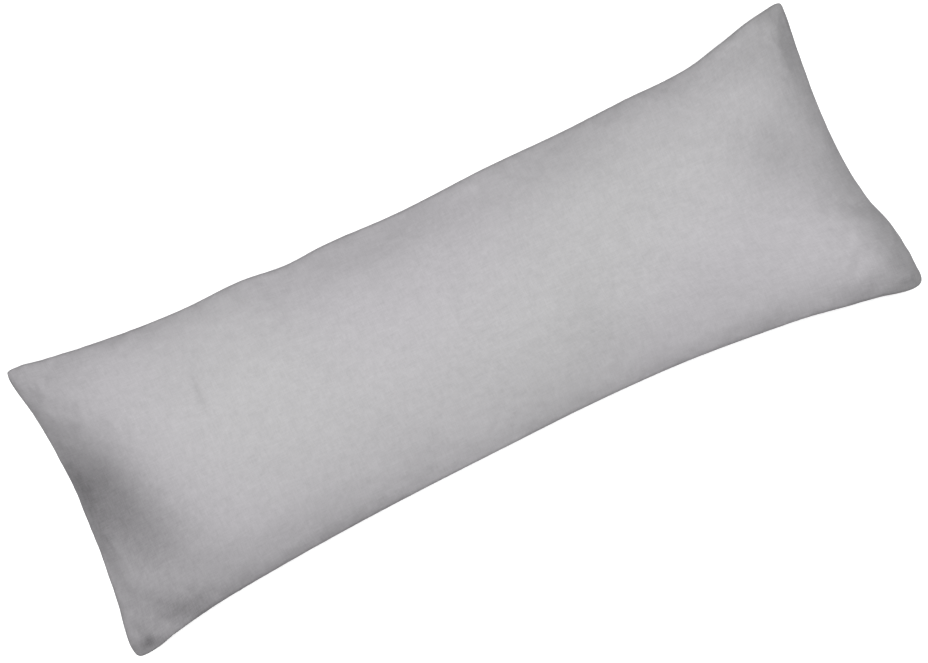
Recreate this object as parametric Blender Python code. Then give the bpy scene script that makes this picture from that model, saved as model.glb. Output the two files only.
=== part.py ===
"""A long rectangular body pillow of light grey cloth, lying on its back on a level surface.

Two equal panels are sewn together all round, turned right side out and filled.
X runs along the pillow, Y across it and Z up. The origin is on the surface it lies on,
under the middle of its footprint. All lengths are in metres.
"""

import bpy
import numpy as np

# The seam's four corners, as they lie once the cover is filled, before the tips are rounded.
BACK_LEFT = (-0.6826, 0.2484)
BACK_RIGHT = (0.6746, 0.2502)
FRONT_RIGHT = (0.6884, -0.2529)
FRONT_LEFT = (-0.6910, -0.2534)

# How far each long side is drawn in from the straight line between its corners.
# Columns: x, drawn in.
BACK_SIDE = (
    (-0.6826, 0.0000),
    (-0.6085, 0.0145),
    (-0.5108, 0.0283),
    (-0.4478, 0.0343),
    (-0.3863, 0.0380),
    (-0.2620, 0.0390),
    (-0.2310, 0.0442),
    (-0.2010, 0.0456),
    (-0.1550, 0.0434),
    (-0.0150, 0.0472),
    (0.1400, 0.0435),
    (0.2700, 0.0435),
    (0.3903, 0.0386),
    (0.4478, 0.0404),
    (0.4864, 0.0380),
    (0.5430, 0.0264),
    (0.6083, 0.0111),
    (0.6746, 0.0000),
)
FRONT_SIDE = (
    (-0.6910, 0.0000),
    (-0.6421, 0.0052),
    (-0.6084, 0.0128),
    (-0.5429, 0.0247),
    (-0.4175, 0.0374),
    (-0.2620, 0.0473),
    (-0.0150, 0.0551),
    (0.1400, 0.0578),
    (0.2930, 0.0538),
    (0.4175, 0.0428),
    (0.4862, 0.0349),
    (0.5426, 0.0248),
    (0.6075, 0.0131),
    (0.6409, 0.0056),
    (0.6884, 0.0000),
)

# The same for the two ends. Columns: y, drawn in.
LEFT_END = (
    (-0.2534, 0.0000),
    (-0.2198, 0.0027),
    (-0.1593, 0.0120),
    (-0.0983, 0.0191),
    (-0.0355, 0.0228),
    (0.0355, 0.0253),
    (0.0902, 0.0224),
    (0.1521, 0.0163),
    (0.2156, 0.0045),
    (0.2484, 0.0000),
)
RIGHT_END = (
    (-0.2529, 0.0000),
    (-0.2194, 0.0024),
    (-0.1601, 0.0069),
    (-0.1286, 0.0124),
    (-0.0981, 0.0214),
    (-0.0667, 0.0262),
    (0.0273, 0.0287),
    (0.0900, 0.0242),
    (0.1519, 0.0164),
    (0.2152, 0.0067),
    (0.2502, 0.0000),
)

# A tip is rounded by pulling it in, less and less over its reach.
TIP_PULL = 0.0060
TIP_REACH = 0.022

# The seam's height over the surface along the sides.
SEAM_HEIGHT = 0.090

# The two ends. Columns: how far the seam sags there and the power by which it comes to that,
# then the power and the rounding by which the height over the seam falls off.
SAG, SAG_POWER, FALL_POWER, FALL_ROUNDING = range(4)
LEFT_END_FALL = (0.060, 5.5, 7.5, 0.85)
RIGHT_END_FALL = (0.056, 5.5, 7.5, 0.85)

# How far each corner droops from that. Columns: corner, droop, how far in it begins.
CORNERS = (
    (BACK_LEFT, 0.004, 0.20),
    (BACK_RIGHT, 0.004, 0.18),
    (FRONT_RIGHT, 0.004, 0.19),
    (FRONT_LEFT, 0.008, 0.24),
)

# The filling's full height over the seam, and its full depth under it where nothing presses.
CROWN_HEIGHT = 0.094
BELLY_DEPTH = 0.130

# How the height falls off to the seam. A higher power keeps it full nearer to the seam,
# a rounding over one half makes the two panels meet at an edge, and the corner filling
# takes the corners from drawn flat, at 0, to full, at 1.
SIDE_POWER = 2.2
SIDE_ROUNDING = 0.81
CORNER_FILLING = 0.95

# The weight flattens the belly. The curve into the flat part begins this far off the surface.
FLATTENING = 0.012

# Hollows (and, with a depth under zero, swells) of the upper side, as the filling lies.
# Columns: x, y, half length, half width, turned by degrees, depth.
HOLLOWS = (
    (-0.618, 0.015, 0.105, 0.050, -75.0, 0.026),
    (-0.640, -0.170, 0.110, 0.080, 50.0, 0.020),
    (0.570, 0.055, 0.055, 0.060, 0.0, 0.014),
    (0.185, -0.075, 0.045, 0.080, 0.0, 0.004),
    (-0.170, -0.095, 0.090, 0.050, 0.0, 0.003),
    (-0.330, 0.020, 0.190, 0.100, 0.0, -0.005),
    (0.420, -0.060, 0.170, 0.110, 0.0, -0.004),
)

# The filling's slow unevenness. Columns: waves along, waves across, phase in turns, height.
LUMPS = (
    (3.0, 0.5, 0.15, 0.0016),
    (5.0, -1.0, 0.60, 0.0012),
    (7.5, 1.5, 0.35, 0.0009),
)

# Soft ridges and, with a height under zero, troughs where the cloth is drawn towards the seam.
# Columns: x and y of its outer end, x and y of its inner end, half width, height.
GATHERS = (
    (-0.6700, -0.1850, -0.6350, -0.2150, 0.014, 0.0045),
    (-0.6500, -0.1500, -0.6100, -0.1850, 0.013, -0.0035),
    (-0.6300, -0.2300, -0.5600, -0.2050, 0.012, -0.0030),
    (-0.6550, 0.1950, -0.5900, 0.1250, 0.012, -0.0025),
    (0.6400, 0.2100, 0.6150, 0.0900, 0.016, 0.0045),
    (0.6600, -0.2300, 0.5900, -0.1750, 0.014, 0.0045),
    (0.6450, -0.1250, 0.5750, -0.0950, 0.012, 0.0035),
    (0.6400, -0.0950, 0.5700, -0.0600, 0.011, -0.0030),
    (-0.2480, 0.2120, -0.2300, 0.1350, 0.012, -0.0030),
    (-0.2150, 0.2050, -0.1950, 0.1300, 0.012, 0.0020),
)

# The mesh: how many cells each panel has, and how strongly they crowd towards the seam.
CELLS_ALONG = 84
CELLS_ACROSS = 32
CROWDING_ALONG = 0.55
CROWDING_ACROSS = 0.75

CLOTH_COLOUR = (0.465, 0.457, 0.468, 1.0)
CLOTH_ROUGHNESS = 0.92


def clear_scene():
    for obj in list(bpy.data.objects):
        bpy.data.objects.remove(obj)


def through(rows, at):
    """The smooth curve through a table's two columns, read at the given places."""
    table = np.array(rows)
    place, value = table[:, 0], table[:, 1]
    slope = np.gradient(value, place)
    k = np.clip(np.searchsorted(place, at) - 1, 0, len(place) - 2)
    step = place[k + 1] - place[k]
    u = np.clip((at - place[k]) / step, 0, 1)
    start = (1 + 2 * u) * (1 - u) ** 2 * value[k] + u * (1 - u) ** 2 * step * slope[k]
    end = u * u * (3 - 2 * u) * value[k + 1] - u * u * (1 - u) * step * slope[k + 1]
    return start + end


def long_side(first, last, rows, inward, share):
    """Plan points of the front or back seam at shares of the way from its left corner."""
    x = first[0] + (last[0] - first[0]) * share
    chord = first[1] + (last[1] - first[1]) * share
    return np.stack([x, chord + inward * through(rows, x)], axis=-1)


def short_end(first, last, rows, inward, share):
    """Plan points of the left or right seam at shares of the way from its front corner."""
    y = first[1] + (last[1] - first[1]) * share
    chord = first[0] + (last[0] - first[0]) * share
    return np.stack([chord + inward * through(rows, y), y], axis=-1)


def spread_between_seams(along, across):
    """Plan points inside the four seams, for shares from -1 to 1 along and across."""
    s, t = (along + 1) / 2, (across + 1) / 2
    front = long_side(FRONT_LEFT, FRONT_RIGHT, FRONT_SIDE, 1, s)
    back = long_side(BACK_LEFT, BACK_RIGHT, BACK_SIDE, -1, s)
    left = short_end(FRONT_LEFT, BACK_LEFT, LEFT_END, 1, t)
    right = short_end(FRONT_RIGHT, BACK_RIGHT, RIGHT_END, -1, t)
    s, t = s[..., None], t[..., None]
    corners = (
        (1 - s) * (1 - t) * np.array(FRONT_LEFT)
        + s * (1 - t) * np.array(FRONT_RIGHT)
        + (1 - s) * t * np.array(BACK_LEFT)
        + s * t * np.array(BACK_RIGHT)
    )
    return (1 - t) * front + t * back + (1 - s) * left + s * right - corners


def round_tips(plan):
    """Pulls the cloth near each corner towards the middle, so that the tips are blunt."""
    pulled = plan.copy()
    for corner, _, _ in CORNERS:
        inward = -np.sign(corner)
        nearness = np.clip(1 - (plan - corner) * inward / TIP_REACH, 0, 1) ** 2
        amount = TIP_PULL * nearness[..., 0] * nearness[..., 1]
        pulled += amount[..., None] * inward
    return pulled


def end_fall(along, column):
    """The nearer end's value in a column."""
    return np.where(along < 0, LEFT_END_FALL[column], RIGHT_END_FALL[column])


def seam_height(along, across, plan):
    """The height of the seam's level, which is lower at the ends and at the corners."""
    height = SEAM_HEIGHT - end_fall(along, SAG) * np.abs(along) ** end_fall(along, SAG_POWER)
    for corner, droop, reach in CORNERS:
        away = np.linalg.norm(plan - corner, axis=-1) / reach
        height -= droop * np.clip(1 - away, 0, 1) ** 2
    return height


def fullness(along, across):
    """From 0 on the seam to 1 over the middle."""
    power, rounding = end_fall(along, FALL_POWER), end_fall(along, FALL_ROUNDING)
    lengthwise = np.clip(1 - np.abs(along) ** power, 0, 1) ** rounding
    crosswise = np.clip(1 - np.abs(across) ** SIDE_POWER, 0, 1) ** SIDE_ROUNDING
    both = lengthwise * crosswise
    return both / np.maximum(lengthwise + crosswise - both, 1e-9) ** CORNER_FILLING


def hollow_depth(plan):
    """How far the hollows lower the upper side at plan points."""
    depth = np.zeros(plan.shape[:-1])
    for x, y, half_length, half_width, turn, deep in HOLLOWS:
        c, s = np.cos(np.radians(turn)), np.sin(np.radians(turn))
        dx, dy = plan[..., 0] - x, plan[..., 1] - y
        lengthwise = (dx * c + dy * s) / half_length
        crosswise = (dy * c - dx * s) / half_width
        depth += deep * np.exp(-(lengthwise**2) - crosswise**2)
    return depth


def lump_height(along, across):
    height = np.zeros(along.shape)
    for waves_along, waves_across, phase, high in LUMPS:
        turns = waves_along * along / 2 + waves_across * across / 2 + phase
        height += high * np.sin(2 * np.pi * turns)
    return height


def gather_height(plan):
    """The ridges and troughs that run in from the seam."""
    height = np.zeros(plan.shape[:-1])
    for x0, y0, x1, y1, half_width, high in GATHERS:
        start, run = np.array((x0, y0)), np.array((x1 - x0, y1 - y0))
        share = ((plan - start) @ run) / (run @ run)
        nearest = start + np.clip(share, 0, 1)[..., None] * run
        away = np.linalg.norm(plan - nearest, axis=-1) / half_width
        height += high * np.exp(-(away**2)) * np.clip(1 - share, 0, 1) ** 0.7
    return height


def upper_side(along, across, plan):
    full = fullness(along, across)
    own_form = lump_height(along, across) - hollow_depth(plan)
    return seam_height(along, across, plan) + CROWN_HEIGHT * full + own_form * full**0.4 + (
        gather_height(plan) * np.minimum(1, 3 * full)
    )


def under_side(along, across, plan):
    """The belly: it hangs from the seam and is flat where it lies."""
    full = fullness(along, across)
    hung = seam_height(along, across, plan) - BELLY_DEPTH * full
    hung -= gather_height(plan) * np.minimum(1, 3 * full) * 0.6
    curve = (hung + FLATTENING) ** 2 / (4 * FLATTENING)
    return np.where(hung > FLATTENING, hung, np.where(hung < -FLATTENING, 0.0, curve))


def crowded(cells, crowding):
    """Places from -1 to 1 that lie closer together towards both ends."""
    even = np.linspace(-1, 1, cells + 1)
    return (1 - crowding) * even + crowding * np.sin(even * np.pi / 2)


def panel_faces(points, upwards):
    a, b, c, d = points[:-1, :-1], points[1:, :-1], points[1:, 1:], points[:-1, 1:]
    quads = np.stack([a, b, c, d], axis=-1).reshape(-1, 4)
    return quads if upwards else quads[:, ::-1]


def filled_pillow():
    """The points and faces of the closed form. Both panels share the seam's points."""
    along, across = np.meshgrid(
        crowded(CELLS_ALONG, CROWDING_ALONG), crowded(CELLS_ACROSS, CROWDING_ACROSS), indexing="ij"
    )
    plan = round_tips(spread_between_seams(along, across))
    upper = np.dstack([plan, upper_side(along, across, plan)])
    under = np.dstack([plan, under_side(along, across, plan)])

    inside = np.zeros(along.shape, bool)
    inside[1:-1, 1:-1] = True
    upper_index = np.arange(along.size).reshape(along.shape)
    under_index = upper_index.copy()
    under_index[inside] = along.size + np.arange(inside.sum())

    points = np.concatenate([upper.reshape(-1, 3), under[inside]])
    low, high = points.min(axis=0), points.max(axis=0)
    points[:, :2] -= (low[:2] + high[:2]) / 2
    faces = np.concatenate([panel_faces(upper_index, True), panel_faces(under_index, False)])
    return points, faces


def cloth_material():
    material = bpy.data.materials.new("grey_cloth")
    material.use_nodes = True
    shader = material.node_tree.nodes["Principled BSDF"]
    shader.inputs["Base Color"].default_value = CLOTH_COLOUR
    shader.inputs["Roughness"].default_value = CLOTH_ROUGHNESS
    shader.inputs["Metallic"].default_value = 0.0
    return material


def make_pillow():
    points, faces = filled_pillow()
    mesh = bpy.data.meshes.new("pillow")
    mesh.from_pydata(points.tolist(), [], faces.tolist())
    mesh.materials.append(cloth_material())
    mesh.shade_smooth()
    pillow = bpy.data.objects.new("pillow", mesh)
    bpy.context.scene.collection.objects.link(pillow)
    return pillow


def main():
    clear_scene()
    make_pillow()


main()
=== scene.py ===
"""A long light grey body pillow on a pale floor, seen face-on from above.

The pillow is a sewn cover of two equal panels, filled, and lying on its back.
X runs along it, Y across it and Z up, in metres, as in the solids.
"""

import math

import bpy
import numpy as np
from mathutils import Matrix, Vector


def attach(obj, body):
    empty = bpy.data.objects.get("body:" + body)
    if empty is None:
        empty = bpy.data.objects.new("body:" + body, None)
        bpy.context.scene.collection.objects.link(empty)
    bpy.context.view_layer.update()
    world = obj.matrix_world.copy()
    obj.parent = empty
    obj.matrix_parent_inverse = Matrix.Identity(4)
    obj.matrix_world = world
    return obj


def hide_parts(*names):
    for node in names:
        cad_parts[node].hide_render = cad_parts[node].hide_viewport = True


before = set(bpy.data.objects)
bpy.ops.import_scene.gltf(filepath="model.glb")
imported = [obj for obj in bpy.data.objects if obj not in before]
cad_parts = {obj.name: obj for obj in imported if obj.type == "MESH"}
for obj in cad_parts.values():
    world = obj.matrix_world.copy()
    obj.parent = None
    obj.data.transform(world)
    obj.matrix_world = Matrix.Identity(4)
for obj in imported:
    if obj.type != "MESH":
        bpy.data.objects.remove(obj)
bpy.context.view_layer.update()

# The picture's size in pixels, and the length that one pixel spans at the seam's height.
PICTURE_WIDE = 928
PIXEL = 0.001543
# The pillow's length is turned this far from the picture's horizontal.
TURN = math.radians(25.473)
# The middle of the pillow's outline lies this far right of and above the picture's middle.
OFF_CENTRE_PIXELS = (-1.81, 3.31)
LENS, SENSOR = 85.0, 36.0

# The light leans a little towards the picture's right and top.
LIGHT_STRENGTH = 3.61
LIGHT_SPREAD = 26.0
LIGHT_LEAN = (-0.005, 0.034)
# The room's brightness overhead, at the horizon and straight below, where the floor's own
# light comes from, and as it shows behind the floor.
ROOM_ABOVE = 0.05
ROOM_LEVEL = 0.06
ROOM_BELOW = 2.00
ROOM_SEEN = 1.00

# The seam's four corners, as they lie once the cover is filled, before the tips are rounded.
BACK_LEFT = (-0.6848, 0.2484)
BACK_RIGHT = (0.6746, 0.2490)
FRONT_RIGHT = (0.6862, -0.2529)
FRONT_LEFT = (-0.6910, -0.2534)

# How far each long side is drawn in from the straight line between its corners.
# Columns: x, drawn in.
BACK_SIDE = (
    (-0.6848, 0.0000),
    (-0.6085, 0.0144),
    (-0.5108, 0.0281),
    (-0.4478, 0.0341),
    (-0.3863, 0.0377),
    (-0.2620, 0.0386),
    (-0.2310, 0.0430),
    (-0.2010, 0.0452),
    (-0.1550, 0.0429),
    (-0.0150, 0.0466),
    (0.1400, 0.0422),
    (0.2700, 0.0428),
    (0.3903, 0.0396),
    (0.4478, 0.0396),
    (0.4864, 0.0370),
    (0.5430, 0.0253),
    (0.6083, 0.0100),
    (0.6746, 0.0000),
)
FRONT_SIDE = (
    (-0.6910, 0.0000),
    (-0.6421, 0.0052),
    (-0.6084, 0.0128),
    (-0.5429, 0.0247),
    (-0.4175, 0.0374),
    (-0.2620, 0.0473),
    (-0.0150, 0.0551),
    (0.1400, 0.0578),
    (0.2930, 0.0538),
    (0.4175, 0.0428),
    (0.4862, 0.0349),
    (0.5426, 0.0248),
    (0.6075, 0.0131),
    (0.6409, 0.0056),
    (0.6862, 0.0000),
)

# The same for the two ends. Columns: y, drawn in.
LEFT_END = (
    (-0.2534, 0.0000),
    (-0.2198, 0.0028),
    (-0.1593, 0.0124),
    (-0.0983, 0.0198),
    (-0.0355, 0.0238),
    (0.0355, 0.0266),
    (0.0902, 0.0239),
    (0.1521, 0.0181),
    (0.2156, 0.0066),
    (0.2484, 0.0000),
)
RIGHT_END = (
    (-0.2529, 0.0000),
    (-0.2194, 0.0003),
    (-0.1601, 0.0051),
    (-0.1286, 0.0107),
    (-0.0981, 0.0199),
    (-0.0667, 0.0248),
    (0.0273, 0.0277),
    (0.0900, 0.0235),
    (0.1519, 0.0160),
    (0.2152, 0.0066),
    (0.2490, 0.0000),
)

# A tip is rounded by pulling it in, less and less over its reach.
TIP_PULL = 0.0060
TIP_REACH = 0.022

# The seam's height over the surface along the sides.
SEAM_HEIGHT = 0.090

# The two ends. Columns: how far the seam sags there and the power by which it comes to that,
# then the power and the rounding by which the height over the seam falls off.
SAG, SAG_POWER, FALL_POWER, FALL_ROUNDING = range(4)
LEFT_END_FALL = (0.060, 5.5, 7.5, 0.85)
RIGHT_END_FALL = (0.056, 5.5, 7.5, 0.85)

# How far each corner droops from that. Columns: corner, droop, how far in it begins.
CORNERS = (
    (BACK_LEFT, 0.012, 0.12),
    (BACK_RIGHT, 0.014, 0.12),
    (FRONT_RIGHT, 0.014, 0.12),
    (FRONT_LEFT, 0.016, 0.15),
)

# The filling's full height over the seam, and its full depth under it where nothing presses.
CROWN_HEIGHT = 0.094
BELLY_DEPTH = 0.130

# How the height falls off to the seam. A higher power keeps it full nearer to the seam,
# a rounding over one half makes the two panels meet at an edge, and the corner filling
# takes the corners from drawn flat, at 0, to full, at 1 and over.
SIDE_POWER = 2.2
SIDE_ROUNDING = 0.81
CORNER_FILLING = 1.15

# The weight flattens the belly. The curve into the flat part begins this far off the surface.
FLATTENING = 0.012

# Hollows (and, with a depth under zero, swells) of the upper side, as the filling lies.
# Columns: x, y, half length, half width, turned by degrees, depth.
HOLLOWS = (
    (-0.615, 0.010, 0.110, 0.055, -75.0, 0.030),
    (-0.630, -0.160, 0.120, 0.085, 50.0, 0.024),
    (0.570, 0.055, 0.055, 0.060, 0.0, 0.014),
    (-0.654, -0.229, 0.011, 0.010, 0.0, 0.006),
    (0.185, -0.075, 0.045, 0.080, 0.0, 0.004),
    (-0.170, -0.095, 0.090, 0.050, 0.0, 0.003),
    (-0.330, 0.020, 0.190, 0.100, 0.0, -0.005),
    (0.420, -0.060, 0.170, 0.110, 0.0, -0.004),
)

# The filling's slow unevenness. Columns: waves along, waves across, phase in turns, height.
LUMPS = (
    (3.0, 0.5, 0.15, 0.0016),
    (5.0, -1.0, 0.60, 0.0012),
    (7.5, 1.5, 0.35, 0.0009),
)

# Soft ridges and, with a height under zero, troughs where the cloth is drawn towards the seam.
# Columns: x and y of its outer end, x and y of its inner end, half width, height.
GATHERS = (
    (-0.6700, -0.1850, -0.6350, -0.2150, 0.014, 0.0045),
    (-0.6500, -0.1500, -0.6100, -0.1850, 0.013, -0.0035),
    (-0.6300, -0.2300, -0.5600, -0.2050, 0.012, -0.0030),
    (-0.6550, 0.1950, -0.5900, 0.1250, 0.012, -0.0025),
    (0.6400, 0.2100, 0.6150, 0.0900, 0.016, 0.0045),
    (0.6600, -0.2300, 0.5900, -0.1750, 0.014, 0.0045),
    (0.6450, -0.1250, 0.5750, -0.0950, 0.012, 0.0035),
    (0.6400, -0.0950, 0.5700, -0.0600, 0.011, -0.0030),
    (-0.2480, 0.2120, -0.2300, 0.1350, 0.012, -0.0030),
    (-0.2150, 0.2050, -0.1950, 0.1300, 0.012, 0.0020),
    (-0.3980, 0.1200, -0.3975, 0.0600, 0.006, -0.0014),
)

# The cover's mesh: how many cells each panel has before it is subdivided once, and how
# strongly they crowd towards the seam.
CELLS_ALONG = 204
CELLS_ACROSS = 58
CROWDING_ALONG = 0.45
CROWDING_ACROSS = 0.62

# The flat panels, as cut, inside the seam.
FLAT_LENGTH = 1.400
FLAT_WIDTH = 0.508

# The cloth has this much more length than the smooth form: over the middle, and by the seam.
SLACK_MIDDLE = 0.002
SLACK_SEAM = 0.030
SLACK_REACH = 0.060
# It may not move further than this from the smooth form.
SETTLE_CAP = 0.007
SETTLE_FRAMES = 24

# Small puckers that run in from the seam. Columns: spacing, reach, height.
PUCKERS = (
    (0.085, 0.090, 0.0022),
    (0.034, 0.040, 0.0009),
    (0.017, 0.022, 0.0005),
    (0.009, 0.011, 0.0003),
)
# The stitched line lies in a groove between the two panels, whose rims swell beside it.
GROOVE_DEPTH = 0.0016
GROOVE_REACH = 0.0034
RIM_SWELL = 0.0016
RIM_REACH = 0.024
# The seam of the picture of the panels, in which the under panel lies this far from the upper.
PANELS_APART = 0.600

# The cloth: a plain weave of marled yarn.
THREAD_PITCH = 0.0008
THREAD_HEIGHT = 0.00025
# How the yarn's brightness varies. Columns: size along, size across, detail, strength.
MARL = (
    (0.0220, 0.0016, 2.0, 0.14),
    (0.0016, 0.0220, 2.0, 0.14),
    (0.0045, 0.0045, 2.0, 0.10),
    (0.0110, 0.0110, 2.0, 0.11),
    (0.0260, 0.0220, 1.0, 0.08),
    (0.1000, 0.0700, 1.0, 0.05),
)
# The groove of the seam is darker, out to this far from it.
SEAM_SHADE = 0.12
SEAM_SHADE_REACH = 0.0022
# Its hue drifts over such a length from plain grey towards violet.
TONE_SIZE = 0.45
TONE_GREY = (0.460, 0.459, 0.461)
TONE_VIOLET = (0.469, 0.456, 0.475)
# Painted shade: soft patches where the cloth's colour is darkened to stand in for shade the form
# doesn't cast, mostly at the ends, the corners and the front edge, or lightened as painted light
# where under zero.
# Columns: x, y, half length, half width, turned by degrees, darkening.
PAINTED_SHADING_PATCHES = (
    (-0.615, 0.007, 0.110, 0.065, -75.0, 0.29),
    (-0.600, 0.035, 0.050, 0.030, 0.0, 0.07),
    (-0.645, 0.050, 0.075, 0.018, -80.0, 0.16),
    (-0.655, 0.150, 0.100, 0.032, -80.0, 0.08),
    (-0.610, 0.215, 0.065, 0.035, -20.0, 0.12),
    (-0.650, -0.060, 0.110, 0.016, 90.0, 0.16),
    (-0.557, -0.115, 0.160, 0.085, -60.0, 0.21),
    (-0.599, -0.190, 0.075, 0.028, -32.0, 0.21),
    (-0.575, -0.210, 0.080, 0.022, 3.0, 0.17),
    (-0.530, -0.228, 0.130, 0.016, 6.0, 0.16),
    (-0.668, -0.222, 0.055, 0.040, 45.0, 0.20),
    (-0.650, -0.236, 0.040, 0.012, 0.0, 0.28),
    (-0.654, -0.229, 0.010, 0.009, 0.0, 0.16),
    (-0.400, 0.088, 0.030, 0.005, 88.0, 0.11),
    (-0.340, 0.175, 0.110, 0.040, 0.0, -0.07),
    (-0.340, 0.090, 0.140, 0.080, 0.0, -0.04),
    (-0.040, -0.140, 0.090, 0.035, 0.0, -0.05),
    (-0.320, -0.200, 0.130, 0.018, 3.0, 0.17),
    (0.080, 0.185, 0.060, 0.020, 0.0, -0.09),
    (0.190, -0.070, 0.030, 0.070, 0.0, 0.035),
    (0.000, -0.203, 0.480, 0.014, 0.0, 0.05),
    (0.150, -0.163, 0.280, 0.028, 0.0, -0.05),
    (0.400, -0.145, 0.120, 0.030, 0.0, -0.05),
    (0.530, 0.030, 0.070, 0.060, 0.0, 0.08),
    (0.440, -0.200, 0.060, 0.016, 0.0, 0.08),
    (0.590, 0.195, 0.070, 0.045, 30.0, 0.13),
    (0.640, 0.238, 0.025, 0.014, 0.0, 0.14),
    (0.660, 0.200, 0.080, 0.032, 75.0, 0.20),
    (0.645, 0.040, 0.130, 0.018, 90.0, 0.12),
    (0.672, -0.150, 0.070, 0.018, 82.0, 0.14),
    (0.635, -0.145, 0.050, 0.022, 90.0, 0.09),
    (0.660, -0.236, 0.030, 0.012, 0.0, 0.14),
    (0.665, -0.215, 0.060, 0.035, -45.0, 0.18),
    (0.590, -0.212, 0.060, 0.024, -5.0, 0.14),
    (0.590, -0.233, 0.080, 0.014, -5.0, 0.14),
)


def through(rows, at):
    """The smooth curve through a table's two columns, read at the given places."""
    table = np.array(rows)
    place, value = table[:, 0], table[:, 1]
    slope = np.gradient(value, place)
    k = np.clip(np.searchsorted(place, at) - 1, 0, len(place) - 2)
    step = place[k + 1] - place[k]
    u = np.clip((at - place[k]) / step, 0, 1)
    start = (1 + 2 * u) * (1 - u) ** 2 * value[k] + u * (1 - u) ** 2 * step * slope[k]
    end = u * u * (3 - 2 * u) * value[k + 1] - u * u * (1 - u) * step * slope[k + 1]
    return start + end


def long_side(first, last, rows, inward, share):
    """Plan points of the front or back seam at shares of the way from its left corner."""
    x = first[0] + (last[0] - first[0]) * share
    chord = first[1] + (last[1] - first[1]) * share
    return np.stack([x, chord + inward * through(rows, x)], axis=-1)


def short_end(first, last, rows, inward, share):
    """Plan points of the left or right seam at shares of the way from its front corner."""
    y = first[1] + (last[1] - first[1]) * share
    chord = first[0] + (last[0] - first[0]) * share
    return np.stack([chord + inward * through(rows, y), y], axis=-1)


def spread_between_seams(along, across):
    """Plan points inside the four seams, for shares from -1 to 1 along and across."""
    s, t = (along + 1) / 2, (across + 1) / 2
    front = long_side(FRONT_LEFT, FRONT_RIGHT, FRONT_SIDE, 1, s)
    back = long_side(BACK_LEFT, BACK_RIGHT, BACK_SIDE, -1, s)
    left = short_end(FRONT_LEFT, BACK_LEFT, LEFT_END, 1, t)
    right = short_end(FRONT_RIGHT, BACK_RIGHT, RIGHT_END, -1, t)
    s, t = s[..., None], t[..., None]
    corners = (
        (1 - s) * (1 - t) * np.array(FRONT_LEFT)
        + s * (1 - t) * np.array(FRONT_RIGHT)
        + (1 - s) * t * np.array(BACK_LEFT)
        + s * t * np.array(BACK_RIGHT)
    )
    return (1 - t) * front + t * back + (1 - s) * left + s * right - corners


def round_tips(plan):
    """Pulls the cloth near each corner towards the middle, so that the tips are blunt."""
    pulled = plan.copy()
    for corner, _, _ in CORNERS:
        inward = -np.sign(corner)
        nearness = np.clip(1 - (plan - corner) * inward / TIP_REACH, 0, 1) ** 2
        amount = TIP_PULL * nearness[..., 0] * nearness[..., 1]
        pulled += amount[..., None] * inward
    return pulled


def end_fall(along, column):
    """The nearer end's value in a column."""
    return np.where(along < 0, LEFT_END_FALL[column], RIGHT_END_FALL[column])


def seam_height(along, across, plan):
    """The height of the seam's level, which is lower at the ends and at the corners."""
    height = SEAM_HEIGHT - end_fall(along, SAG) * np.abs(along) ** end_fall(along, SAG_POWER)
    for corner, droop, reach in CORNERS:
        away = np.linalg.norm(plan - corner, axis=-1) / reach
        height -= droop * np.clip(1 - away, 0, 1) ** 2
    return height


def fullness(along, across):
    """From 0 on the seam to 1 over the middle."""
    power, rounding = end_fall(along, FALL_POWER), end_fall(along, FALL_ROUNDING)
    lengthwise = np.clip(1 - np.abs(along) ** power, 0, 1) ** rounding
    crosswise = np.clip(1 - np.abs(across) ** SIDE_POWER, 0, 1) ** SIDE_ROUNDING
    both = lengthwise * crosswise
    return both / np.maximum(lengthwise + crosswise - both, 1e-9) ** CORNER_FILLING


def hollow_depth(plan):
    """How far the hollows lower the upper side at plan points."""
    depth = np.zeros(plan.shape[:-1])
    for x, y, half_length, half_width, turn, deep in HOLLOWS:
        c, s = np.cos(np.radians(turn)), np.sin(np.radians(turn))
        dx, dy = plan[..., 0] - x, plan[..., 1] - y
        lengthwise = (dx * c + dy * s) / half_length
        crosswise = (dy * c - dx * s) / half_width
        depth += deep * np.exp(-(lengthwise**2) - crosswise**2)
    return depth


def lump_height(along, across):
    height = np.zeros(along.shape)
    for waves_along, waves_across, phase, high in LUMPS:
        turns = waves_along * along / 2 + waves_across * across / 2 + phase
        height += high * np.sin(2 * np.pi * turns)
    return height


def gather_height(plan):
    """The ridges and troughs that run in from the seam."""
    height = np.zeros(plan.shape[:-1])
    for x0, y0, x1, y1, half_width, high in GATHERS:
        start, run = np.array((x0, y0)), np.array((x1 - x0, y1 - y0))
        share = ((plan - start) @ run) / (run @ run)
        nearest = start + np.clip(share, 0, 1)[..., None] * run
        away = np.linalg.norm(plan - nearest, axis=-1) / half_width
        height += high * np.exp(-(away**2)) * np.clip(1 - share, 0, 1) ** 0.7
    return height


def upper_side(along, across, plan):
    full = fullness(along, across)
    own_form = lump_height(along, across) - hollow_depth(plan)
    return seam_height(along, across, plan) + CROWN_HEIGHT * full + own_form * full**0.4 + (
        gather_height(plan) * np.minimum(1, 3 * full)
    )


def under_side(along, across, plan):
    """The belly: it hangs from the seam and is flat where it lies."""
    full = fullness(along, across)
    hung = seam_height(along, across, plan) - BELLY_DEPTH * full
    hung -= gather_height(plan) * np.minimum(1, 3 * full) * 0.6
    curve = (hung + FLATTENING) ** 2 / (4 * FLATTENING)
    return np.where(hung > FLATTENING, hung, np.where(hung < -FLATTENING, 0.0, curve))


def crowded(cells, crowding):
    """Places from -1 to 1 that lie closer together towards both ends."""
    even = np.linspace(-1, 1, cells + 1)
    return (1 - crowding) * even + crowding * np.sin(even * np.pi / 2)


def panel_faces(points, upwards):
    a, b, c, d = points[:-1, :-1], points[1:, :-1], points[1:, 1:], points[:-1, 1:]
    quads = np.stack([a, b, c, d], axis=-1).reshape(-1, 4)
    return quads if upwards else quads[:, ::-1]


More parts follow.
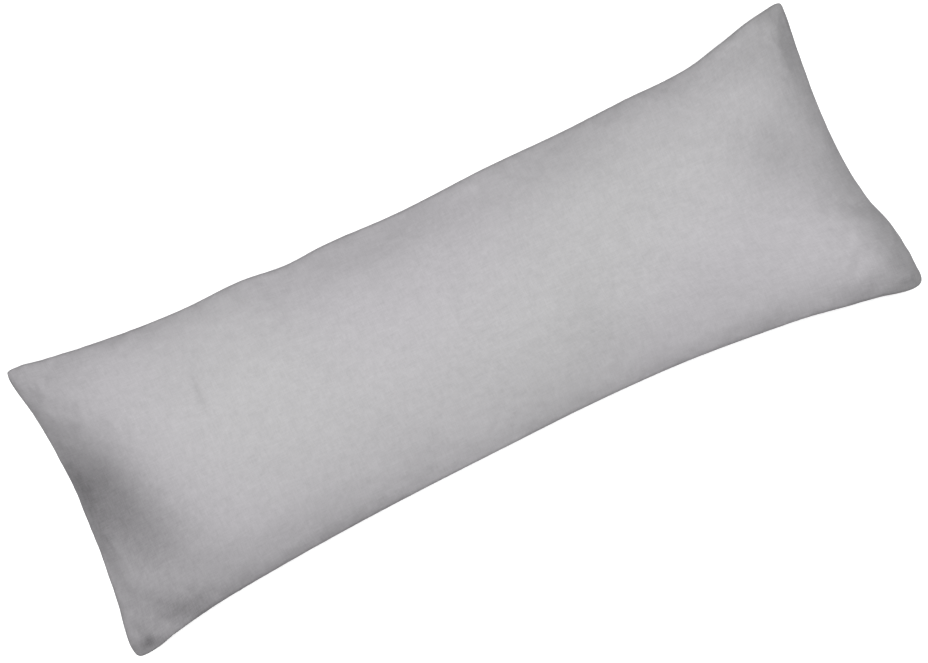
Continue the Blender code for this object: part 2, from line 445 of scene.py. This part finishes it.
def sewn_cover():
    """The smooth cover: its points, faces, and where each point lies on its flat panel."""
    along, across = np.meshgrid(
        crowded(CELLS_ALONG, CROWDING_ALONG), crowded(CELLS_ACROSS, CROWDING_ACROSS), indexing="ij"
    )
    plan = round_tips(spread_between_seams(along, across))
    upper = np.dstack([plan, upper_side(along, across, plan)])
    under = np.dstack([plan, under_side(along, across, plan)])

    inside = np.zeros(along.shape, bool)
    inside[1:-1, 1:-1] = True
    upper_index = np.arange(along.size).reshape(along.shape)
    under_index = upper_index.copy()
    under_index[inside] = along.size + np.arange(inside.sum())

    points = np.concatenate([upper.reshape(-1, 3), under[inside]])
    low, high = points.min(axis=0), points.max(axis=0)
    points[:, :2] -= (low[:2] + high[:2]) / 2
    faces = np.concatenate([panel_faces(upper_index, True), panel_faces(under_index, False)])
    flat = np.dstack([along * FLAT_LENGTH / 2, across * FLAT_WIDTH / 2])
    flat = np.concatenate([flat.reshape(-1, 2), flat[inside]])
    return points, faces, flat


def from_seam(flat):
    """How far each point of a panel lies from the seam, over the cloth."""
    return np.minimum(FLAT_LENGTH / 2 - np.abs(flat[:, 0]), FLAT_WIDTH / 2 - np.abs(flat[:, 1]))


def make_mesh(name, points, faces):
    mesh = bpy.data.meshes.new(name)
    mesh.from_pydata(points.tolist(), [], faces.tolist())
    obj = bpy.data.objects.new(name, mesh)
    bpy.context.scene.collection.objects.link(obj)
    return obj


def read_points(mesh):
    values = np.empty(len(mesh.vertices) * 3, np.float32)
    mesh.vertices.foreach_get("co", values)
    return values.reshape(-1, 3).astype(float)


def write_points(mesh, points):
    mesh.vertices.foreach_set("co", np.asarray(points, np.float32).ravel())
    mesh.update()


def normals_of(mesh):
    values = np.empty(len(mesh.vertices) * 3, np.float32)
    mesh.vertex_normals.foreach_get("vector", values)
    return values.reshape(-1, 3).astype(float)


def weigh(obj, name, weights, steps=24):
    """A vertex group with the given weights, rounded to a few steps."""
    group = obj.vertex_groups.new(name=name)
    level = np.round(np.clip(weights, 0, 1) * steps).astype(int)
    for k in range(1, steps + 1):
        members = np.nonzero(level == k)[0]
        if len(members):
            group.add(members.tolist(), k / steps, "REPLACE")
    return group.name


def lay_out(mesh, flat):
    """Two pictures of the panels, side by side: in metres, and fitted to a square."""
    corner = np.empty(len(mesh.loops), np.int32)
    mesh.loops.foreach_get("vertex_index", corner)
    place = flat[corner]
    place[len(place) // 2 :, 1] += PANELS_APART
    square = np.array((0.5, 0.25)) + place * (0.98 / FLAT_LENGTH, 0.5 / PANELS_APART)
    for name, picture in (("cloth", place), ("OFBake", square)):
        layer = mesh.uv_layers.new(name=name)
        layer.data.foreach_set("uv", picture.astype(np.float32).ravel())


def read_flat(mesh):
    """Where each point lies on its flat panel, and whether that is the under panel."""
    corner = np.empty(len(mesh.loops), np.int32)
    mesh.loops.foreach_get("vertex_index", corner)
    place = np.empty(len(mesh.loops) * 2, np.float32)
    mesh.uv_layers["cloth"].data.foreach_get("uv", place)
    flat = np.empty((len(mesh.vertices), 2))
    flat[corner] = place.reshape(-1, 2)
    under = flat[:, 1] > PANELS_APART / 2
    flat[under, 1] -= PANELS_APART
    return flat, under


def settle(obj, flat):
    """Lets the slack cloth find its own soft folds round the filling."""
    smooth = read_points(obj.data)
    distance = from_seam(flat)
    by_seam = np.exp(-((distance / SLACK_REACH) ** 2))
    pinned = np.where(distance < 1e-6, 1.0, 0.10)
    modifier = obj.modifiers.new("settle", "CLOTH")
    cloth = modifier.settings
    cloth.quality = 5
    cloth.mass = 0.00002
    cloth.tension_stiffness = 30
    cloth.compression_stiffness = 30
    cloth.shear_stiffness = 6
    cloth.bending_stiffness = 0.25
    cloth.tension_damping = 10
    cloth.compression_damping = 10
    cloth.shear_damping = 6
    cloth.bending_damping = 0.5
    cloth.air_damping = 4
    cloth.vertex_group_mass = weigh(obj, "held", pinned)
    cloth.pin_stiffness = 1
    cloth.vertex_group_shrink = weigh(obj, "slack", by_seam)
    cloth.shrink_min = -SLACK_MIDDLE
    cloth.shrink_max = -SLACK_SEAM
    cloth.use_pressure = True
    cloth.uniform_pressure_force = 1.2
    cloth.effector_weights.gravity = 0
    modifier.collision_settings.use_collision = False
    scene = bpy.context.scene
    modifier.point_cache.frame_start, modifier.point_cache.frame_end = 1, SETTLE_FRAMES
    for number in range(1, SETTLE_FRAMES + 1):
        scene.frame_set(number)
    evaluated = obj.evaluated_get(bpy.context.evaluated_depsgraph_get())
    moved = read_points(evaluated.data) - smooth
    obj.modifiers.remove(modifier)
    scene.frame_set(1)
    far = np.linalg.norm(moved, axis=1)
    print("settled: moved mm", np.percentile(far, (50, 90, 99, 100)) * 1000)
    capped = SETTLE_CAP * np.tanh(far / SETTLE_CAP)
    moved *= (capped / np.maximum(far, 1e-9))[:, None]
    points = smooth + moved
    points[:, 2] = np.where(smooth[:, 2] < 1e-6, smooth[:, 2], np.maximum(points[:, 2], 0.0))
    write_points(obj.data, points)


def refine(obj):
    """Subdivides the mesh once, for good."""
    modifier = obj.modifiers.new("finer", "SUBSURF")
    modifier.levels = modifier.render_levels = 1
    modifier.uv_smooth = "NONE"
    evaluated = obj.evaluated_get(bpy.context.evaluated_depsgraph_get())
    finer = bpy.data.meshes.new_from_object(evaluated)
    obj.modifiers.clear()
    obj.vertex_groups.clear()
    obj.data = finer


def uneven_wave(place, spacing, draw):
    """A smooth line of uneven ups and downs, from -1 to 1, about a spacing apart."""
    count = int(np.ptp(place) / spacing) + 4
    knots = place.min() + spacing * (np.arange(count) - 1 + draw.uniform(-0.3, 0.3, count))
    return through(np.stack([knots, draw.uniform(-1, 1, count)], axis=1), place)


def pucker(mesh):
    """Draws the cloth in at the seam, between small puckers that run in from it."""
    points, outward = read_points(mesh), normals_of(mesh)
    flat, under = read_flat(mesh)
    draw = np.random.default_rng(12)
    height = np.zeros(len(points))
    for panel in (under, ~under):
        for end, side in ((0, -1), (0, 1), (1, -1), (1, 1)):
            half = (FLAT_LENGTH, FLAT_WIDTH)[end] / 2
            distance = half - side * flat[panel][:, end]
            for spacing, reach, high in PUCKERS:
                wave = uneven_wave(flat[panel][:, 1 - end], spacing, draw)
                share = np.clip(distance / reach, 0, 1)
                height[panel] += high * wave * 6.75 * share * (1 - share) ** 2
    inward = from_seam(flat)
    height += RIM_SWELL * np.exp(-((inward / RIM_REACH) ** 2))
    height -= GROOVE_DEPTH * np.exp(-((inward / GROOVE_REACH) ** 2))
    resting = points[:, 2] < 1e-6
    moved = points + height[:, None] * outward
    moved[:, 2] = np.where(resting, points[:, 2], np.maximum(moved[:, 2], 0.0))
    write_points(mesh, moved)


def paint_shading_patches(mesh):
    """Stores the painted shade at each point of the upper panel, how far its colour is darkened (or
    lightened, under zero), for the material.
    """
    points = read_points(mesh)
    _, under = read_flat(mesh)
    nap = np.zeros(len(points))
    for x, y, half_length, half_width, turn, dark in PAINTED_SHADING_PATCHES:
        c, s = np.cos(np.radians(turn)), np.sin(np.radians(turn))
        dx, dy = points[:, 0] - x, points[:, 1] - y
        lengthwise = (dx * c + dy * s) / half_length
        crosswise = (dy * c - dx * s) / half_width
        nap += dark * np.exp(-(lengthwise**2) - crosswise**2)
    nap[under] = 0
    mesh.attributes.new("nap", "FLOAT", "POINT").data.foreach_set("value", nap.astype(np.float32))


def make_cover():
    points, faces, flat = sewn_cover()
    cover = make_mesh("pillow_cover", points, faces)
    lay_out(cover.data, flat)
    settle(cover, flat)
    refine(cover)
    pucker(cover.data)
    paint_shading_patches(cover.data)
    cover.data.shade_smooth()
    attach(cover, "root")
    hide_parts("pillow")
    return cover


def result(tree, operation, first, second=0.0):
    """A Math node on two sockets or numbers, and the socket of what it works out."""
    node = tree.nodes.new("ShaderNodeMath")
    node.operation = operation
    for socket, value in zip(node.inputs, (first, second)):
        if isinstance(value, bpy.types.NodeSocket):
            tree.links.new(value, socket)
        else:
            socket.default_value = value
    return node.outputs["Value"]


def noise(tree, place, along, across, detail):
    """Soft noise, from -0.5 to 0.5, whose spots have the given size."""
    stretch = tree.nodes.new("ShaderNodeMapping")
    stretch.inputs["Scale"].default_value = (1 / along, 1 / across, 1)
    texture = tree.nodes.new("ShaderNodeTexNoise")
    texture.noise_dimensions = "2D"
    texture.inputs["Scale"].default_value = 1.0
    texture.inputs["Detail"].default_value = detail
    tree.links.new(place, stretch.inputs["Vector"])
    tree.links.new(stretch.outputs["Vector"], texture.inputs["Vector"])
    return result(tree, "SUBTRACT", texture.outputs["Fac"], 0.5)


def weave(tree, x, y):
    """The height of a plain weave, from -1 where the warp lies over to 1 where the weft does."""
    warp = result(tree, "SINE", result(tree, "MULTIPLY", x, math.pi / THREAD_PITCH))
    weft = result(tree, "SINE", result(tree, "MULTIPLY", y, math.pi / THREAD_PITCH))
    return result(tree, "MULTIPLY", warp, weft)


def seam_shade(tree, x, y):
    """1 on the cloth, and less in the groove of the seam."""
    beyond_middle = result(tree, "GREATER_THAN", y, PANELS_APART / 2)
    in_panel = result(tree, "SUBTRACT", y, result(tree, "MULTIPLY", beyond_middle, PANELS_APART))
    to_end = result(tree, "SUBTRACT", FLAT_LENGTH / 2, result(tree, "ABSOLUTE", x))
    to_side = result(tree, "SUBTRACT", FLAT_WIDTH / 2, result(tree, "ABSOLUTE", in_panel))
    nearness = tree.nodes.new("ShaderNodeMapRange")
    nearness.interpolation_type = "SMOOTHSTEP"
    nearness.inputs["From Max"].default_value = SEAM_SHADE_REACH
    nearness.inputs["To Min"].default_value = 1 - SEAM_SHADE
    tree.links.new(result(tree, "MINIMUM", to_end, to_side), nearness.inputs["Value"])
    return nearness.outputs["Result"]


def mix_colours(tree, blend, factor, first, second):
    node = tree.nodes.new("ShaderNodeMix")
    node.data_type = "RGBA"
    node.blend_type = blend
    sockets = [s for s in node.inputs if s.enabled]
    for socket, value in zip(sockets, (factor, first, second)):
        if isinstance(value, bpy.types.NodeSocket):
            tree.links.new(value, socket)
        else:
            socket.default_value = value
    return [s for s in node.outputs if s.enabled][0]


def cloth_material():
    """Matt plain weave of marled light grey yarn, with a short soft nap, and with painted shade and
    painted light in its colour.
    """
    material = bpy.data.materials.new("grey_cloth_woven")
    material.use_nodes = True
    tree = material.node_tree
    shader = tree.nodes["Principled BSDF"]
    panels = tree.nodes.new("ShaderNodeUVMap")
    panels.uv_map = "cloth"
    split = tree.nodes.new("ShaderNodeSeparateXYZ")
    place = panels.outputs["UV"]
    tree.links.new(place, split.inputs["Vector"])
    x, y = split.outputs["X"], split.outputs["Y"]
    over = weave(tree, x, y)

    marl = result(tree, "MULTIPLY", over, 0.02)
    for along, across, detail, strength in MARL:
        spots = noise(tree, place, along, across, detail)
        marl = result(tree, "ADD", marl, result(tree, "MULTIPLY", spots, strength))
    # Painted shade and painted light: the colour is darkened, or lightened, by the patches stored on
    # the mesh's points.
    nap = tree.nodes.new("ShaderNodeAttribute")
    nap.attribute_name = "nap"
    bright = result(tree, "SUBTRACT", result(tree, "ADD", marl, 1.0), nap.outputs["Fac"])
    bright = result(tree, "MULTIPLY", bright, seam_shade(tree, x, y))

    drift = noise(tree, place, TONE_SIZE, TONE_SIZE, 0.0)
    drift = result(tree, "ADD", result(tree, "MULTIPLY", drift, 2.0), 0.7)
    tone = mix_colours(tree, "MIX", drift, (*TONE_GREY, 1), (*TONE_VIOLET, 1))
    shade = tree.nodes.new("ShaderNodeVectorMath")
    shade.operation = "SCALE"
    tree.links.new(tone, shade.inputs["Vector"])
    tree.links.new(bright, shade.inputs["Scale"])
    tree.links.new(shade.outputs["Vector"], shader.inputs["Base Color"])

    rough = result(tree, "ADD", result(tree, "MULTIPLY", marl, 0.5), 0.90)
    tree.links.new(rough, shader.inputs["Roughness"])
    shader.inputs["Specular IOR Level"].default_value = 0.15
    shader.inputs["Sheen Weight"].default_value = 0.04
    shader.inputs["Sheen Roughness"].default_value = 0.6

    height = result(tree, "ADD", result(tree, "ABSOLUTE", over), result(tree, "MULTIPLY", marl, 4.0))
    bump = tree.nodes.new("ShaderNodeBump")
    bump.inputs["Strength"].default_value = 0.6
    bump.inputs["Distance"].default_value = THREAD_HEIGHT
    tree.links.new(height, bump.inputs["Height"])
    tree.links.new(bump.outputs["Normal"], shader.inputs["Normal"])
    return material


def make_floor():
    half = 14.0
    floor = make_mesh(
        "floor",
        np.array(((-half, -half, 0), (half, -half, 0), (half, half, 0), (-half, half, 0))),
        np.array(((0, 1, 2, 3),)),
    )
    material = bpy.data.materials.new("pale_floor")
    material.use_nodes = True
    shader = material.node_tree.nodes["Principled BSDF"]
    shader.inputs["Base Color"].default_value = (0.90, 0.90, 0.90, 1.0)
    shader.inputs["Roughness"].default_value = 0.9
    shader.inputs["Specular IOR Level"].default_value = 0.0
    shader.inputs["Emission Color"].default_value = (1, 1, 1, 1)
    shader.inputs["Emission Strength"].default_value = 0.25
    floor.data.materials.append(material)
    floor.visible_diffuse = False
    floor.visible_shadow = False


def make_camera():
    """Straight above the pillow, with the picture's right turned from the pillow's length."""
    right = Vector((math.cos(TURN), -math.sin(TURN), 0))
    up = Vector((math.sin(TURN), math.cos(TURN), 0))
    aim = -PIXEL * (OFF_CENTRE_PIXELS[0] * right + OFF_CENTRE_PIXELS[1] * up)
    away = PICTURE_WIDE * PIXEL * LENS / SENSOR
    data = bpy.data.cameras.new("camera")
    data.lens = LENS
    data.sensor_width = SENSOR
    camera = bpy.data.objects.new("camera", data)
    bpy.context.scene.collection.objects.link(camera)
    place = aim + Vector((0, 0, SEAM_HEIGHT + away))
    columns = Matrix((right, up, Vector((0, 0, 1)))).transposed()
    camera.matrix_world = Matrix.Translation(place) @ columns.to_4x4()
    bpy.context.scene.camera = camera


def make_light():
    """One very soft light from overhead, and a pale room round the floor."""
    up = Vector((math.sin(TURN), math.cos(TURN), 0))
    data = bpy.data.lights.new("overhead", "SUN")
    data.energy = LIGHT_STRENGTH
    data.angle = math.radians(LIGHT_SPREAD)
    light = bpy.data.objects.new("overhead", data)
    bpy.context.scene.collection.objects.link(light)
    right = Vector((math.cos(TURN), -math.sin(TURN), 0))
    toward = Vector((0, 0, 1)) + LIGHT_LEAN[0] * right + LIGHT_LEAN[1] * up
    light.rotation_euler = toward.to_track_quat("Z", "Y").to_euler()

    world = bpy.data.worlds.new("room")
    world.use_nodes = True
    bpy.context.scene.world = world
    nodes, links = world.node_tree.nodes, world.node_tree.links
    place = nodes.new("ShaderNodeTexCoord")
    split = nodes.new("ShaderNodeSeparateXYZ")
    brightness = nodes.new("ShaderNodeFloatCurve")
    points = brightness.mapping.curves[0].points
    points[0].location = (0.0, 1.0)
    points[1].location = (1.0, ROOM_ABOVE / ROOM_BELOW)
    points.new(0.20, ROOM_LEVEL / ROOM_BELOW)
    points.new(0.60, ROOM_ABOVE / ROOM_BELOW)
    for point in points:
        point.handle_type = "VECTOR"
    height = nodes.new("ShaderNodeMapRange")
    height.inputs["From Min"].default_value = -1.0
    seen = nodes.new("ShaderNodeLightPath")
    choose = nodes.new("ShaderNodeMix")
    choose.inputs["B"].default_value = ROOM_SEEN
    links.new(place.outputs["Generated"], split.inputs["Vector"])
    links.new(split.outputs["Z"], height.inputs["Value"])
    links.new(height.outputs["Result"], brightness.inputs["Value"])
    links.new(seen.outputs["Is Camera Ray"], choose.inputs["Factor"])
    lit = result(world.node_tree, "MULTIPLY", brightness.outputs["Value"], ROOM_BELOW)
    links.new(lit, choose.inputs["A"])
    links.new(choose.outputs["Result"], nodes["Background"].inputs["Strength"])
    nodes["Background"].inputs["Color"].default_value = (1, 1, 1, 1)


make_camera()
make_light()
make_floor()
pillow_cover = make_cover()
pillow_cover.data.materials.append(cloth_material())

scene = bpy.context.scene
scene.view_settings.view_transform = "Standard"
scene.view_settings.look = "None"
